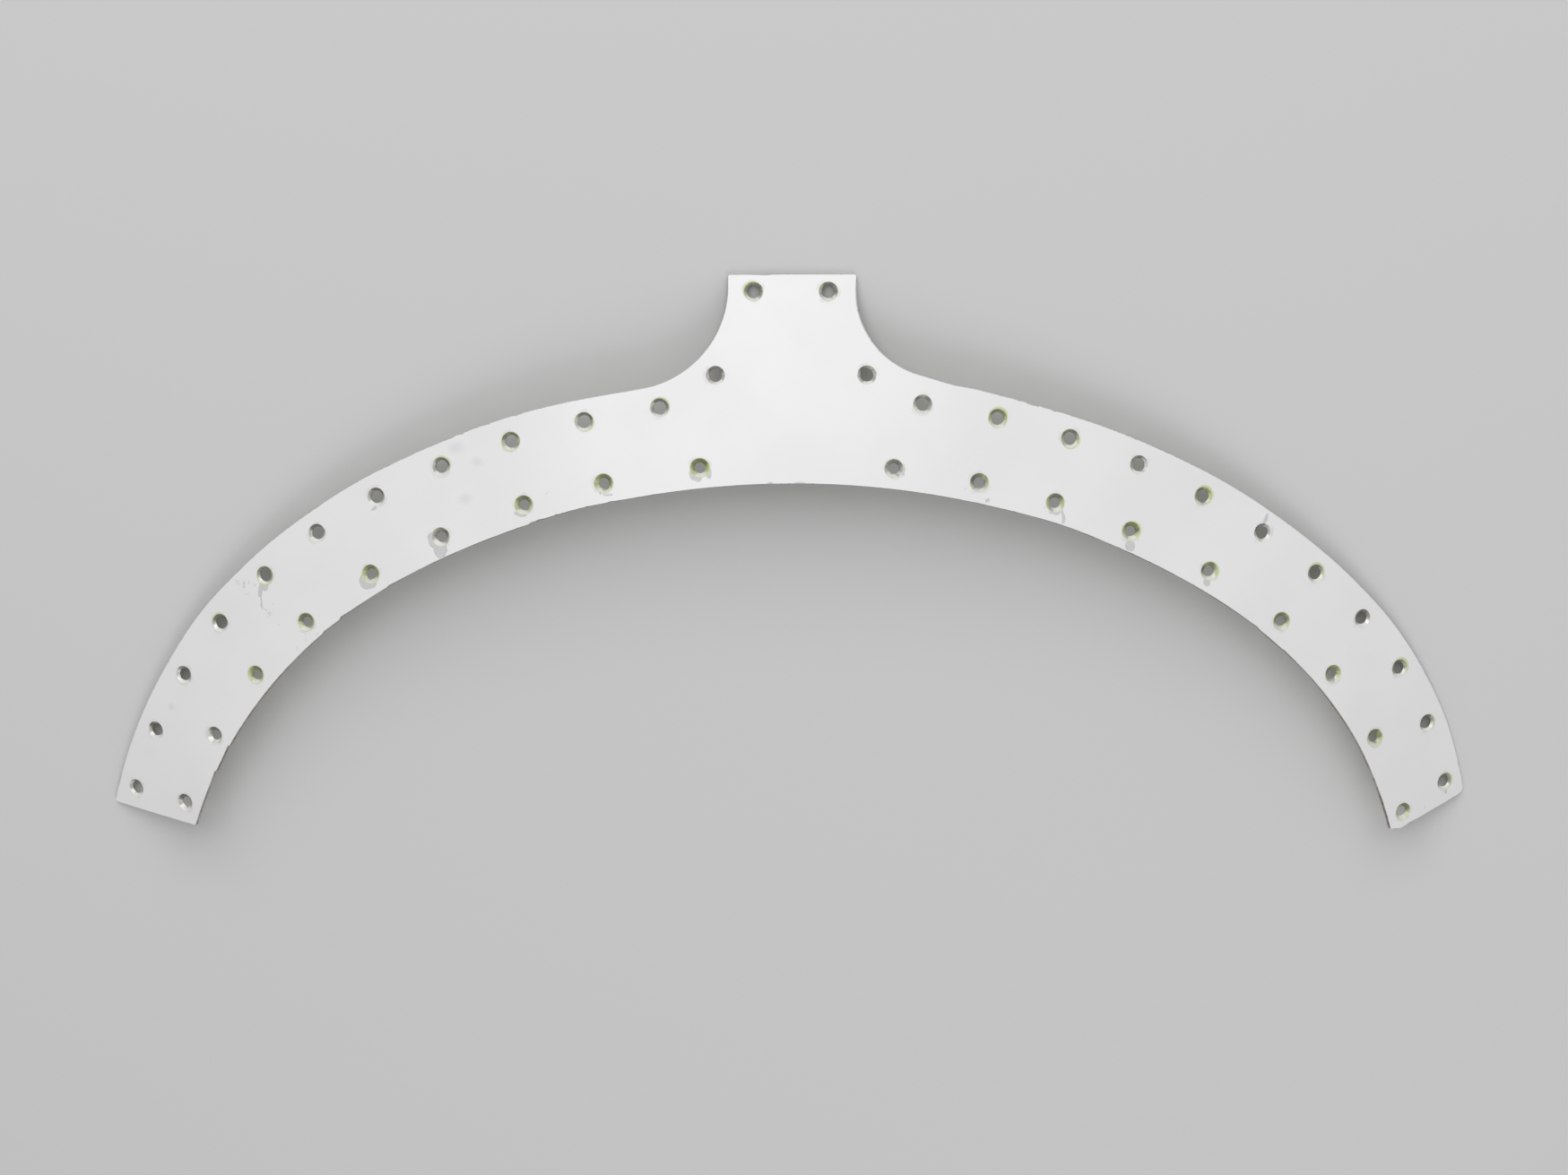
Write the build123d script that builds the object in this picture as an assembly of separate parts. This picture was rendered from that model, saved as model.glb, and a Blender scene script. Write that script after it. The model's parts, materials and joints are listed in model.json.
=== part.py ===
from build123d import *
import os
from math import atan2, ceil, cos, degrees, hypot, radians, sin, tan

# Windshield retainer: an arch of white-painted aluminium sheet with a short stem in the
# middle. The arch clamps the lower edge of a two-piece windshield to the deck skin, and
# the stem covers the foot of the centre post. It is cut from flat sheet and rolled to
# part of a cone. It lies here as it rests on a bench, painted side up. Sizes are in mm.

# Sheet, and the cone that it is rolled to
sheet_thickness = 1.8
cone_half_angle = 55.3
apex_to_arch = 475.0  # along the sheet, from the cone's apex to the middle of the arch

# Places on the flat blank have x to the right and y up the stem, from the arch's middle.
# The two legs were trimmed by hand and differ a little.

# Each edge of a leg is two tangent arcs that start level on the centre line. Its numbers
# are the height there, the first arc's radius and length, and the second's.
outer_edge = {"left": (26.2, 478.0, 206.0, 338.0, 245.0), "right": (27.8, 450.0, 305.0, 264.0, 141.0)}
inner_edge = {"left": (-24.4, 420.0, 185.0, 297.0, 194.0), "right": (-24.4, 414.0, 230.0, 260.0, 153.5)}

# The left leg's end is one straight cut, the right leg's turns level at this point
right_end_turn = (325.0, -200.5)
outer_corner_radius = {"left": 1.0, "right": 3.5}
sharp_corner_radius = 1.0

# Stem. Its right root ends in a straight filed run, between these two points.
stem_side = {"left": -29.5, "right": 30.7}
stem_top = 73.4
stem_fillet = {"left": 47.0, "right": 40.0}
right_root_run = [(30.7, 35.6), (78.0, 20.9)]
right_root_blend = 60.0

# Screw holes: 100 degree countersinks for flush screws. The outer row and the stem are
# drilled large, through the windshield. The inner row goes into the deck skin.
countersink_diameter = 8.73
countersink_angle = 100.0
windshield_hole = 6.1
deck_hole = 5.0

# Rows of holes along the legs, as distances along the edge from the centre line. The
# outer row is evenly pitched, the inner row was laid out by hand.
outer_row_margin = 10.7
outer_row_first = 63.3
outer_row_pitch = {"left": 37.3, "right": 37.1}
outer_row_count = 11
inner_row_margin = 9.8
inner_row_stations = {
    "left": (42.0, 87.0, 126.0, 169.0, 208.5, 250.0, 289.0, 329.5, 371.0),
    "right": (47.0, 87.0, 124.0, 163.0, 207.0, 252.5, 292.0, 334.0, 378.5),
}
stem_holes = [(17.5, 65.4), (35.4, 26.4)]  # one of each on both sides of the centre line

# Planes that the cutting walls run between, and the spacing of points along the walls
wall_top = 10.0
wall_bottom = -140.0
wall_step = 20.0

# The three corners of the back that touch the bench: leg, leg and stem
bench_corners = [(-367.3, -188.3), (362.7, -182.5), (30.4, 73.1)]

sense = {"left": -1, "right": 1}
alpha = radians(cone_half_angle)


def formed(x, y):
    """Where a point of the flat blank's face lies once rolled, and the normal there.

    Its distance from the cone's apex is kept. Its angle about the apex, measured from
    the centre line, grows by one over the sine of the half angle about the cone's axis.
    """
    reach = hypot(x, y + apex_to_arch)
    turn = atan2(x, y + apex_to_arch) / sin(alpha)
    axis = Vector(0, cos(alpha), -sin(alpha))
    outward = Vector(0, sin(alpha), cos(alpha)) * cos(turn) + Vector(1, 0, 0) * sin(turn)
    along = axis * cos(alpha) + outward * sin(alpha)
    normal = outward * cos(alpha) - axis * sin(alpha)
    return Vector(0, -apex_to_arch, 0) + along * reach, normal


def edge_point(leg, edge, station, inset):
    """Point at a distance along an edge, moved square to it towards the arch's centre."""
    height, first_radius, first_length, second_radius, _ = edge[leg]
    turn = min(station, first_length) / first_radius
    x = first_radius * sin(turn)
    y = height - first_radius * (1 - cos(turn))
    if station > first_length:
        more = turn + (station - first_length) / second_radius
        x += second_radius * (sin(more) - sin(turn))
        y -= second_radius * (cos(turn) - cos(more))
        turn = more
    return sense[leg] * (x - inset * sin(turn)), y - inset * cos(turn)


def edge_arcs(leg, edge):
    """The two tangent arcs of an edge, from the centre line to the leg's end."""
    height, first_radius, first_length, second_radius, second_length = edge[leg]
    way = sense[leg]
    first = JernArc((0, height), (way, 0), first_radius, -way * degrees(first_length / first_radius))
    second = JernArc(first @ 1, first % 1, second_radius, -way * degrees(second_length / second_radius))
    return [first, second]


def leg_blank(leg):
    """One half of the flat arch, from the centre line to the leg's end, corners rounded."""
    outer = edge_arcs(leg, outer_edge)
    inner = edge_arcs(leg, inner_edge)
    outer_corner = outer[1] @ 1
    inner_corner = inner[1] @ 1
    turns = [right_end_turn] if leg == "right" else []
    end = Polyline(outer_corner, *turns, inner_corner)
    middle = Line(inner[0] @ 0, outer[0] @ 0)
    flat = make_face(Wire([*outer, *end.edges(), *inner, middle]))
    for corner, radius in ((outer_corner, outer_corner_radius[leg]), (inner_corner, sharp_corner_radius)):
        flat = fillet([flat.vertices().sort_by_distance(corner)[0]], radius)
    return flat


def blank():
    """The whole flat blank: both legs and the stem, with its root fillets."""
    left, right = stem_side["left"], stem_side["right"]
    stem = make_face(Polyline((left, 0), (left, stem_top), (right, stem_top), (right, 0), (left, 0)))
    start, finish = right_root_run
    root = make_face(Polyline((0, 0), (0, start[1]), start, finish, (0, 0)))
    flat = leg_blank("left") + leg_blank("right") + stem + root
    left_root = (left, outer_edge["left"][0])
    for place, radius in (
        (left_root, stem_fillet["left"]),
        (start, stem_fillet["right"]),
        (finish, right_root_blend),
        ((left, stem_top), sharp_corner_radius),
        ((right, stem_top), sharp_corner_radius),
    ):
        flat = fillet([flat.vertices().sort_by_distance(place)[0]], radius)
    return flat


def wall_edge(edge, height):
    """A flat edge carried along the formed sheet's normals to a level plane."""
    steps = max(3, ceil(edge.length / wall_step))
    points = []
    for i in range(steps + 1):
        flat = edge @ (i / steps)
        point, normal = formed(flat.X, flat.Y)
        points.append(point + normal * ((height - point.Z) / normal.Z))
    return Edge.make_spline(points, parameters=[i / steps for i in range(steps + 1)])


def rolled_wall():
    """A wide piece of the cone's wall, its face the painted side."""
    section = Plane.YZ * make_face(
        Polyline(
            (-90, 0), (100, 0), (100, -sheet_thickness), (-90, -sheet_thickness), (-90, 0)
        )
    )
    axis = Axis((0, -apex_to_arch, 0), (0, cos(alpha), -sin(alpha)))
    sweep = 144
    return revolve(section, axis, sweep).rotate(axis, -sweep / 2)


def formed_sheet():
    """The rolled sheet, cut along the blank's outline by walls square to its face."""
    edges = blank().face().outer_wire().order_edges()
    top = Wire([wall_edge(edge, wall_top) for edge in edges])
    bottom = Wire([wall_edge(edge, wall_bottom) for edge in edges])
    return rolled_wall() & Solid.make_loft([bottom, top], ruled=True)


def hole_list():
    """Each screw hole as its place on the flat blank and its drilled diameter."""
    holes = []
    for leg in ("left", "right"):
        for x, y in stem_holes:
            holes.append((sense[leg] * x, y, windshield_hole))
        for i in range(outer_row_count):
            station = outer_row_first + i * outer_row_pitch[leg]
            holes.append((*edge_point(leg, outer_edge, station, outer_row_margin), windshield_hole))
        for station in inner_row_stations[leg]:
            holes.append((*edge_point(leg, inner_edge, station, -inner_row_margin), deck_hole))
    return holes


def screw_hole(x, y, diameter):
    """The drill and the countersink of one hole, square to the formed sheet."""
    slope = tan(radians(countersink_angle / 2))
    depth = (countersink_diameter - diameter) / 2 / slope
    proud = 1.0
    sink = Cone(
        diameter / 2, countersink_diameter / 2 + proud * slope, depth + proud,
        align=(Align.CENTER, Align.CENTER, Align.MIN),
    )
    drill = Cylinder(diameter / 2, 4 * sheet_thickness)
    point, normal = formed(x, y)
    return Plane(point, z_dir=normal) * (Pos(0, 0, -depth) * sink + drill)


def bench_plane():
    """The plane through the three corners that the part lies on, X along the arch."""
    left, right, stem = [point - normal * sheet_thickness for point, normal in
                         (formed(*corner) for corner in bench_corners)]
    return Plane(left, x_dir=right - left, z_dir=(right - left).cross(stem - left))


def retainer():
    """The finished part as it lies, the middle of its bounding box's base at the origin."""
    sheet = formed_sheet() - [screw_hole(*hole) for hole in hole_list()]
    lying = bench_plane().to_local_coords(sheet)
    box = lying.bounding_box()
    return Pos(-box.center().X, -box.center().Y, -box.min.Z) * lying


if __name__ == "__main__":
    os.makedirs("parts", exist_ok=True)
    export_step(retainer(), "parts/windshield_retainer.step")
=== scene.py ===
import json
import bpy
import numpy as np
from mathutils import Matrix, Vector
from mathutils.geometry import delaunay_2d_cdt


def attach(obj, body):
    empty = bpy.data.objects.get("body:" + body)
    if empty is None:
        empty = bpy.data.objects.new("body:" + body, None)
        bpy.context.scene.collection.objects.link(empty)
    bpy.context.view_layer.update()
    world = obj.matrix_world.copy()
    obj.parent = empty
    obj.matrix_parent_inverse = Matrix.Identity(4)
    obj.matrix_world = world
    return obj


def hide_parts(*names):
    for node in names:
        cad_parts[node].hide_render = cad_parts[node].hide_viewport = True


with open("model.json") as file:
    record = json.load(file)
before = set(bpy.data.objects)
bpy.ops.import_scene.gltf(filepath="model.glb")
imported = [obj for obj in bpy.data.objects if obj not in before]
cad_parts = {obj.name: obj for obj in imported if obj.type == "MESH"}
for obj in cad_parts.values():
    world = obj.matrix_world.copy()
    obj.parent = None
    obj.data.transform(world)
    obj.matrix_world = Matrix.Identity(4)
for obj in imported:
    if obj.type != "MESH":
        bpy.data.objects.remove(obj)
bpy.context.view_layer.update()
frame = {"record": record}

# The rolled form. The retainer is cut flat from aluminium sheet and rolled to part of a cone,
# and its screw holes are then drilled and countersunk square to the rolled face. The packed
# record says where each hole is, and those places and directions fix the cone in the frame.
MM = 0.001
sheet_thickness = 1.8
apex_to_arch = 475.0
screw_holes = {hole["name"]: hole for hole in frame["record"]["mounts"] if hole["kind"] == "bore"}
hole_names = sorted(screw_holes)


def column(key):
    """One number or vector of every screw hole's record, as an array."""
    return np.array([screw_holes[name][key] for name in hole_names])


def fitted_cone():
    """The cone's half angle and apex, three directions, which are its axis, the way to the arch's
    middle and the way to its right, and the places of the holes on the painted face.

    Every hole makes the same angle with the axis, so normals times axis is one constant, and
    every hole's tangent plane passes through the apex. Both are solved by least squares.
    """
    normals = column("axis")
    lands = np.array([screw_holes[name]["dims"]["length_mm"] for name in hole_names])
    on_face = column("pos_m") + (sheet_thickness - lands / 2)[:, None] * MM * normals
    leaning = np.linalg.lstsq(normals, -np.ones(len(normals)), rcond=None)[0]
    slope = np.linalg.norm(leaning)
    axis = leaning / slope
    apex = np.linalg.lstsq(normals, (normals * on_face).sum(1), rcond=None)[0]
    pair = [on_face[hole_names.index(f"stem_top_screw_{side}")] for side in ("left", "right")]
    middle = sum(pair) / 2 - apex
    middle -= middle @ axis * axis
    middle /= np.linalg.norm(middle)
    return np.arcsin(1 / slope), apex, axis, middle, np.cross(axis, middle), on_face


half_angle, apex, cone_axis, cone_middle, cone_right, hole_faces = fitted_cone()


def rolled(flat, lift=0.0):
    """Where points of the flat blank lie once rolled, in metres, and three directions there.

    flat is x and y on the blank in millimetres, and lift is the height above the painted face.
    The distance from the apex is kept, and the angle about it grows by one over the sine of the
    half angle. The directions are the blank's x, its y and the sheet's outward normal.
    """
    flat = np.asarray(flat, float)
    reach = np.hypot(flat[:, 0], flat[:, 1] + apex_to_arch)
    spread = np.arctan2(flat[:, 0], flat[:, 1] + apex_to_arch)[:, None]
    turn = spread / np.sin(half_angle)
    outward = np.cos(turn) * cone_middle + np.sin(turn) * cone_right
    around = np.cos(turn) * cone_right - np.sin(turn) * cone_middle
    along = np.cos(half_angle) * cone_axis + np.sin(half_angle) * outward
    normal = np.cos(half_angle) * outward - np.sin(half_angle) * cone_axis
    x_way = np.sin(spread) * along + np.cos(spread) * around
    y_way = np.cos(spread) * along - np.sin(spread) * around
    lift = np.broadcast_to(lift, reach.shape)[:, None]
    return apex + MM * (reach[:, None] * along + lift * normal), x_way, y_way, normal


def unrolled(points):
    """The blank's x and y, in millimetres, of points on the rolled face. The distance from the
    apex is kept, and the angle about the axis shrinks by the sine of the half angle."""
    arm = points - apex
    height = arm @ cone_axis
    radial = arm - height[:, None] * cone_axis
    reach = height * np.cos(half_angle) + np.linalg.norm(radial, axis=1) * np.sin(half_angle)
    spread = np.arctan2(radial @ cone_right, radial @ cone_middle) * np.sin(half_angle)
    return np.stack([reach * np.sin(spread), reach * np.cos(spread)], 1) / MM - [0, apex_to_arch]


hole_flat = unrolled(hole_faces)
hole_radius = np.array([screw_holes[name]["dims"]["r_mm"] for name in hole_names])

# The blank's outline, in millimetres. The legs were trimmed by hand and differ a little. Each
# long edge is two tangent arcs, and the stem's roots are round fillets. x is to the right and
# y up the stem, from the arch's middle.
outline_step = 1.5
stem_side = {"left": 29.5, "right": 30.7}
stem_top = 73.4
root_fillet = {"left": 47.0, "right": 40.0}
sharp_corner = 1.0
outer_corner = {"left": 1.0, "right": 3.5}
clear_of_sharp_corner = 1.6
clear_of_round_corner = 4.0

# A leg's edge, drawn to the right: its height on the centre line, then the radius and length of
# its first arc and of its second
outer_edge = {"left": (26.2, 478.0, 206.0, 338.0, 245.0), "right": (27.8, 450.0, 305.0, 264.0, 141.0)}
inner_edge = {"left": (-24.4, 420.0, 185.0, 297.0, 194.0), "right": (-24.4, 414.0, 230.0, 260.0, 153.5)}

# The right root's filed run, where the outer edge takes over, and the turn of the right leg's cut
right_root_run = ((30.7, 35.6), (78.0, 20.9))
right_edge_start = 76.9
right_end_turn = (325.0, -200.5)


def arc(centre, radius, start, end, least_count=5):
    """Points along an arc, from the start angle to the end angle in radians, ends included, about
    a step apart: centre plus radius times (cos, sin) of each angle."""
    count = max(least_count, int(abs(end - start) * radius / outline_step) + 1)
    angle = np.linspace(start, end, count)
    return np.array(centre) + radius * np.stack([np.cos(angle), np.sin(angle)], 1)


def long_edge(height, first_radius, first_length, second_radius, second_length, from_angle=0.0):
    """A leg's edge, drawn to the right: an arc that starts level at the height on the centre
    line and curves down, then an arc tangent to it. It starts at from_angle along the first."""
    first_centre = np.array([0.0, height - first_radius])
    turn = first_length / first_radius
    second_way = np.array([np.sin(turn), np.cos(turn)])
    second_centre = first_centre + (first_radius - second_radius) * second_way
    first = arc(first_centre, first_radius, np.pi / 2 - from_angle, np.pi / 2 - turn)
    end = np.pi / 2 - turn - second_length / second_radius
    return np.concatenate([first, arc(second_centre, second_radius, np.pi / 2 - turn, end)[1:]])


def rounded(before, corner, after, radius):
    """A corner's arc: tangent to the lines from the corner to the points before and after."""
    before, corner, after = (np.array(p, float) for p in (before, corner, after))
    back = (before - corner) / np.linalg.norm(before - corner)
    on = (after - corner) / np.linalg.norm(after - corner)
    half = np.arccos(np.clip(back @ on, -1, 1)) / 2
    middle = (back + on) / np.linalg.norm(back + on)
    centre = corner + middle * radius / np.sin(half)
    first = corner + back * radius / np.tan(half) - centre
    last = corner + on * radius / np.tan(half) - centre
    start = np.arctan2(first[1], first[0])
    sweep = np.angle(np.exp(1j * (np.arctan2(last[1], last[0]) - start)))
    return arc(centre, radius, start, start + sweep, least_count=6)


def line(start, end):
    """Points along a straight line, ends included, about a step apart."""
    start, end = np.array(start, float), np.array(end, float)
    count = max(2, int(np.linalg.norm(end - start) / outline_step) + 1)
    return start + (end - start) * np.linspace(0, 1, count)[:, None]


def leg_end(outer, inner, turn_point, corner_radius):
    """The cut across a leg's end, with both corners rounded, from the outer edge inwards."""
    middle = [] if turn_point is None else [turn_point]
    corners = [outer[-1], *middle, inner[-1]]
    first = rounded(outer[-4], corners[0], corners[1], corner_radius)
    last = rounded(corners[-2], corners[-1], inner[-4], sharp_corner)
    runs = [first]
    at = first[-1]
    for place in middle:
        runs.append(line(at, place)[1:])
        at = np.array(place)
    runs.append(line(at, last[0])[1:-1])
    runs.append(last)
    return np.concatenate(runs)


def clear_of(edge, corner, reach):
    """An edge without its points within reach of the corner."""
    return edge[np.linalg.norm(edge - corner, axis=1) > reach]


def left_half():
    """The left half of the outline, drawn as if on the right, from the stem's top to the arch's
    middle. Its root fillet touches the stem's side and the outer edge's first arc."""
    side, fillet = stem_side["left"], root_fillet["left"]
    height, radius = outer_edge["left"][:2]
    lean = np.arcsin((side + fillet) / (radius + fillet))
    centre = (side + fillet, height - radius + (radius + fillet) * np.cos(lean))
    outer = long_edge(*outer_edge["left"], lean)
    inner = long_edge(*inner_edge["left"])
    root = arc(centre, fillet, np.pi, 1.5 * np.pi - lean)
    top = rounded((0, stem_top), (side, stem_top), (side, centre[1]), sharp_corner)
    end = leg_end(outer, inner, None, outer_corner["left"])
    outer = clear_of(outer[1:], outer[-1], clear_of_sharp_corner)
    inner = clear_of(inner, inner[-1], clear_of_sharp_corner)[::-1]
    return np.concatenate([line((0, stem_top), top[0])[:-1], top, line(top[-1], root[0])[1:-1],
                           root, outer, end, inner])


def right_half():
    """The right half of the outline, from the stem's top to the arch's middle. Its root fillet
    runs out into a straight filed stretch that meets the outer edge."""
    side, radius = stem_side["right"], outer_edge["right"][1]
    root = rounded((side, stem_top), *right_root_run, root_fillet["right"])
    lean = np.arcsin(right_edge_start / radius)
    outer = long_edge(*outer_edge["right"], lean)
    inner = long_edge(*inner_edge["right"])
    top = rounded((0, stem_top), (side, stem_top), (side, 0), sharp_corner)
    end = leg_end(outer, inner, right_end_turn, outer_corner["right"])
    outer = clear_of(outer, outer[-1], clear_of_round_corner)
    inner = clear_of(inner, inner[-1], clear_of_sharp_corner)[::-1]
    return np.concatenate([line((0, stem_top), top[0])[:-1], top, line(top[-1], root[0])[1:-1],
                           root, line(root[-1], outer[0])[1:-1], outer, end, inner])


def blank_outline():
    """The whole outline, anticlockwise from the stem's top: the left half, then the right back."""
    left = left_half() * [-1, 1]
    right = right_half()[::-1]
    return np.concatenate([left, right[1:-1]])


def outward_of(loop):
    """The unit outward direction of a closed anticlockwise loop at each of its points, square to
    the line between the point's two neighbours."""
    step = np.roll(loop, -1, 0) - np.roll(loop, 1, 0)
    step /= np.linalg.norm(step, axis=1)[:, None]
    return np.stack([step[:, 1], -step[:, 0]], 1)


def hand_cut(loop, wanders, snips):
    """The outline as it was sawn and filed by hand, up to a millimetre off the drawn line.

    A wander is a smooth swell, its place, reach and how far out it goes: out times exp of minus
    the squared distance over reach. A snip is a small step, its place, depth and reach: inward
    by depth times exp of minus the run over reach, on one side of the place only.
    """
    out = np.zeros(len(loop))
    for x, y, reach, far in wanders:
        out += far * np.exp(-((loop[:, 0] - x) ** 2 + (loop[:, 1] - y) ** 2) / reach ** 2)
    along = np.cumsum(np.linalg.norm(loop - np.roll(loop, 1, 0), axis=1))
    for x, y, depth, reach in snips:
        at = np.hypot(loop[:, 0] - x, loop[:, 1] - y).argmin()
        run = (along - along[at]) / reach
        out -= np.where(run >= 0, depth * np.exp(-np.maximum(run, 0)), 0)
    return loop + outward_of(loop) * out[:, None]


wanders = (
    (-78, 20, 22, -0.7), (-140, 4, 28, 0.6), (-236, -37, 22, -0.35), (-300, -88, 24, 0.7),
    (-103, -37, 20, -0.7), (128, -45, 22, -0.6), (240, -102, 22, 0.5), (290, -152, 16, -0.25),
    (83, 20, 12, 0.45), (125, 10, 18, -0.25), (213, -27, 26, 0.35), (290, -78, 14, -0.3),
    (345, -145, 16, 0.3),
)
snips = (
    (-84.4, -33.0, 0.35, 3.0), (-122.4, -42.6, 0.5, 4.0), (-194.8, -72.6, 0.35, 4.0),
    (-220.6, -88.8, 0.8, 6.0), (-230.2, -95.4, 0.5, 5.0), (-289.2, -155.0, 0.75, -6.0),
    (-298.6, -168.0, 0.7, -8.0), (229.8, -94.3, 0.4, -5.0), (245.0, -106.5, 0.3, 6.0),
    (-10.5, 73.4, 0.3, 7.0), (-162.0, -2.0, 0.3, 4.0),
)
outline = hand_cut(blank_outline(), wanders, snips)

# The sheet itself: one closed skin with the painted face, the back, the sheared and filed edge
# between them, and the wall of every hole. It is laid out flat and then rolled as a whole, so
# edges and hole walls stand square to the face, as they do when rolled stock is drilled.
file_round = 0.25
deepest_round = 0.6
back_round = 0.15
stem_bevel = 0.7
sink_rim = 8.73 / 2
sink_half_angle = 50
rim_round = 0.12
drill_round = 0.12
hole_steps = 56
face_step = 5.0


def filed_width():
    """How far the face's arris is filed back at each outline point, in millimetres.

    It is a small even round, with a wider bevel down the stem's right side that fades in
    below the top corner and fades out along the right root.
    """
    least_x, most_x, least_y = 25, 80, 20
    on_right = (outline[:, 0] > least_x) & (outline[:, 0] < most_x) & (outline[:, 1] > least_y)
    below_corner, fade_in = 1.5, 4
    start = np.clip((stem_top - below_corner - outline[:, 1]) / fade_in, 0, 1)
    root_height, fade_out = 24, 30
    finish = np.clip((outline[:, 1] - root_height) / fade_out, 0, 1)
    return file_round + np.where(on_right, (stem_bevel - file_round) * start * finish, 0)


def edge_rows():
    """The outline's outward directions, and the edge's rows from the painted face to the back.

    A quarter ellipse rounds the face's arris, and its depth is 0.55 times its width plus 0.12. A
    straight wall follows, and a small quarter circle rounds the back's arris. Each row is
    (places, lift, share outward, share upward).
    """
    width = filed_width()
    depth = np.minimum(0.55 * width + 0.12, deepest_round)
    outward = outward_of(outline)
    rows = []
    for turn in np.linspace(0, np.pi / 2, 6):
        places = outline - outward * (width * (1 - np.sin(turn)))[:, None]
        rows.append((places, -depth * (1 - np.cos(turn)), np.sin(turn), np.cos(turn)))
    for turn in np.linspace(0, np.pi / 2, 4):
        places = outline - outward * back_round * (1 - np.cos(turn))
        lift = back_round * (1 - np.sin(turn)) - sheet_thickness
        rows.append((places, np.full(len(outline), lift), np.cos(turn), -np.sin(turn)))
    return outward, rows


def hole_rows(radius):
    """A hole's wall as rows of radius, lift and the normal's rise, from the rim to the back.

    The rim's arris is rounded, the countersink's wall slopes at 50 degrees from the axis, the
    land is straight, and the back's arris is rounded. Normals point away from the metal.
    """
    flat = np.pi / 2
    cone = np.radians(sink_half_angle)
    depth = (sink_rim - radius) / np.tan(cone)
    rows = []
    for turn in np.linspace(0, 1, 4):
        angle = flat - turn * (flat - cone)
        reach = rim_round * (1 - turn)
        rows.append((sink_rim + reach * (1 - turn), -reach * turn * 0.2 - rim_round / 2 * turn, angle))
    for share in np.linspace(0.08, 0.97, 6):
        rows.append((sink_rim - share * (sink_rim - radius), -share * depth, cone))
    rows.append((radius + 0.01, -depth + 0.01, cone / 2))
    rows.append((radius, -depth - 0.03, 0.0))
    rows.append((radius, drill_round - sheet_thickness, 0.0))
    rows.append((radius + drill_round / 4, drill_round / 3 - sheet_thickness, -np.pi / 4))
    rows.append((radius + drill_round, -sheet_thickness, -np.pi / 2))
    return rows


def face_grid():
    """Points inside the blank for the two faces: a triangular grid, clear of edges and rims, and
    a row that follows the outline just inside it, clear of its corners."""
    off_edge, off_rim = 2.6, 1.6
    inset, off_corner = 1.3, 1.1
    low, high = outline.min(0), outline.max(0)
    columns = np.arange(low[0], high[0], face_step)
    equilateral = 0.866
    lines = np.arange(low[1], high[1], face_step * equilateral)
    x, y = np.meshgrid(columns, lines)
    x = x + (np.arange(len(lines)) % 2)[:, None] * face_step / 2
    grid = np.stack([x.ravel(), y.ravel()], 1)
    ahead = np.roll(outline, -1, 0)
    crosses = (outline[:, 1] > grid[:, 1:2]) != (ahead[:, 1] > grid[:, 1:2])
    rise = np.where(ahead[:, 1] == outline[:, 1], 1e-9, ahead[:, 1] - outline[:, 1])
    meets = outline[:, 0] + (grid[:, 1:2] - outline[:, 1]) * (ahead[:, 0] - outline[:, 0]) / rise
    inside = (crosses & (grid[:, :1] < meets)).sum(1) % 2 == 1
    grid = grid[inside]
    to_edge = np.linalg.norm(grid[:, None] - outline[None], axis=2).min(1)
    to_hole = np.linalg.norm(grid[:, None] - hole_flat[None], axis=2).min(1)
    grid = grid[(to_edge > off_edge) & (to_hole > sink_rim + off_rim)]
    row = (outline - inset * outward_of(outline))[::2]
    clear = np.linalg.norm(row[:, None] - outline[None], axis=2).min(1) > off_corner
    return np.concatenate([grid, row[clear]])


def meshed_face(border, rims, grid):
    """One face between the border and the rims, on the flat blank: its places, its triangles, and
    the numbers of each loop's points, first the border's and then each rim's.

    The triangles are a Delaunay mesh of the loops and the grid, without those in the holes.
    """
    loops = [border, *rims]
    points = np.concatenate([*loops, grid])
    starts = np.cumsum([0] + [len(loop) for loop in loops])
    edges = []
    for start, loop in zip(starts, loops):
        place = np.arange(len(loop))
        edges.append(np.stack([start + place, start + (place + 1) % len(loop)], 1))
    edges = np.concatenate(edges)
    cut = delaunay_2d_cdt([Vector(p) for p in points], edges.tolist(), [], 1, 1e-6)
    places, triangles, origins = np.array([p[:] for p in cut[0]]), np.array(cut[2]), cut[3]
    middles = places[triangles].mean(1)
    in_hole = [(np.linalg.norm(middles - c, axis=1) < np.linalg.norm(rim[0] - c)) for c, rim in
               zip(hole_flat, rims)]
    triangles = triangles[~np.any(in_hole, axis=0)]
    found = np.full(len(points), -1)
    for place, origin in enumerate(origins):
        found[origin] = place
    x, y = (places[triangles][..., k] for k in (0, 1))
    area = (x[:, 1] - x[:, 0]) * (y[:, 2] - y[:, 0]) - (x[:, 2] - x[:, 0]) * (y[:, 1] - y[:, 0])
    triangles = np.where(area[:, None] > 0, triangles, triangles[:, ::-1])
    return places, triangles, [found[a:b] for a, b in zip(starts[:-1], starts[1:])]


def circle(centre, radius, steps=hole_steps):
    """Points of a circle on the blank, anticlockwise."""
    angle = 2 * np.pi * np.arange(steps) / steps
    return centre + radius * np.stack([np.cos(angle), np.sin(angle)], 1)


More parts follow.
